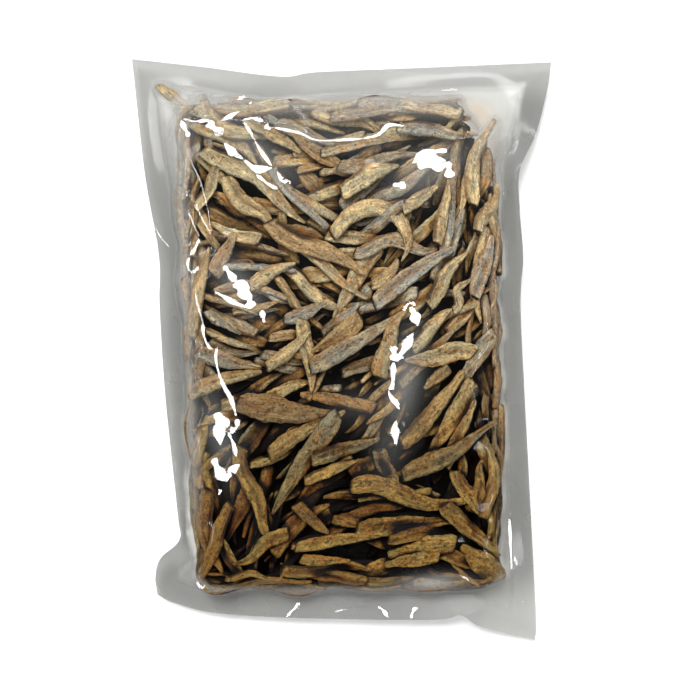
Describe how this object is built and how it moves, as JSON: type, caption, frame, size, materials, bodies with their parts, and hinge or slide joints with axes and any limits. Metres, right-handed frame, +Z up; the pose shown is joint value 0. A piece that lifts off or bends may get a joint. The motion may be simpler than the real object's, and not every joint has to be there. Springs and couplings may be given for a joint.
{
  "type": "bag of dried sprats",
  "caption": "Clear heat-sealed pouch packed tight with dried headless sprats, lying flat with its seal showing all round.",
  "frame": {"origin": "middle of the underside, on the surface that the pouch lies on", "axes": "+Z up out of the shown face, +Y along the pouch towards its top seal, +X across the pouch to the right"},
  "size_m": [0.2, 0.277, 0.0324],
  "materials": {
    "dried_sprats": "dry, wrinkled skin of dried fish, golden tan to grey with rust stains",
    "clear_film": "clear glossy laminate film, milky grey where its two sheets are sealed"
  },
  "bodies": {
    "root": {"pouch_of_sprats": "dried_sprats"}
  },
  "joints": []
}
